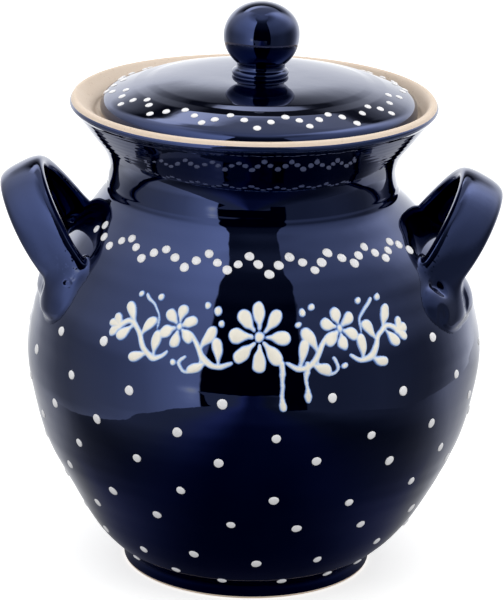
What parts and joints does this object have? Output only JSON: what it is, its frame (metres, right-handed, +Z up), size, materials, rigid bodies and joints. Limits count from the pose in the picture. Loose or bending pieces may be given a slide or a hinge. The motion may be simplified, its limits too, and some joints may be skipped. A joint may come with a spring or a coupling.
{
  "type": "storage crock",
  "caption": "Round-bellied glazed storage crock with a waisted neck, flared rim, strap handles on the shoulder and a lift-off lid with a ball knob.",
  "frame": {"origin": "centre of the foot ring, on the surface that the pot stands on", "axes": "+Z up along the pot's turning axis, -Y the front, the strap handles along -X and +X"},
  "size_m": [0.2806, 0.256, 0.3253],
  "materials": {
    "body_glaze": "gloss",
    "handle_glaze": "gloss",
    "lid_glaze": "gloss"
  },
  "bodies": {
    "pot": {"pot_body": "body_glaze", "handle_left": "handle_glaze", "handle_right": "handle_glaze"},
    "lid_and_knob": {"lid": "lid_glaze", "lid_knob": "lid_glaze"}
  },
  "joints": [
    {"name": "lid_lift", "type": "slide", "parent": "pot", "child": "lid_and_knob", "axis": [0, 0, 1], "range_m": [0, 0.25]}
  ]
}
